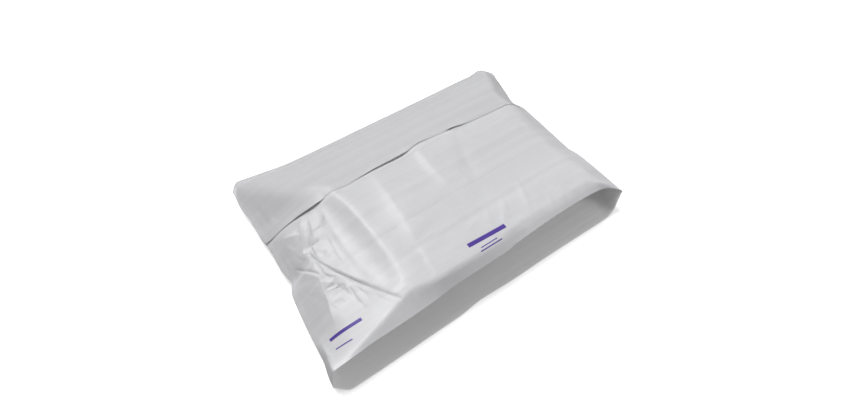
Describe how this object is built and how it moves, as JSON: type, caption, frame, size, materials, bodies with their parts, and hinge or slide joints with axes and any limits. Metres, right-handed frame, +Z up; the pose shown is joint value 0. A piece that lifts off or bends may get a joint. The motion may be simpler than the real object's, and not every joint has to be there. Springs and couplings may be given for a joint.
{
  "type": "polythene mailing bag",
  "caption": "Flat film mailing bag lying filled out, side welds either side, mouth open at the near end, closing flap folded over and stuck down at the far end",
  "frame": {"origin": "on the surface the bag lies on, under the middle of its outline", "axes": "+X along the mouth, +Y from the mouth to the fold of the flap, +Z up"},
  "size_m": [0.25, 0.1895, 0.0349],
  "materials": {
    "film": "pale grey polythene film, half gloss",
    "adhesive": "clear hot-melt adhesive"
  },
  "bodies": {
    "root": {"film_bag": "film", "adhesive_strip": "adhesive"}
  },
  "joints": []
}
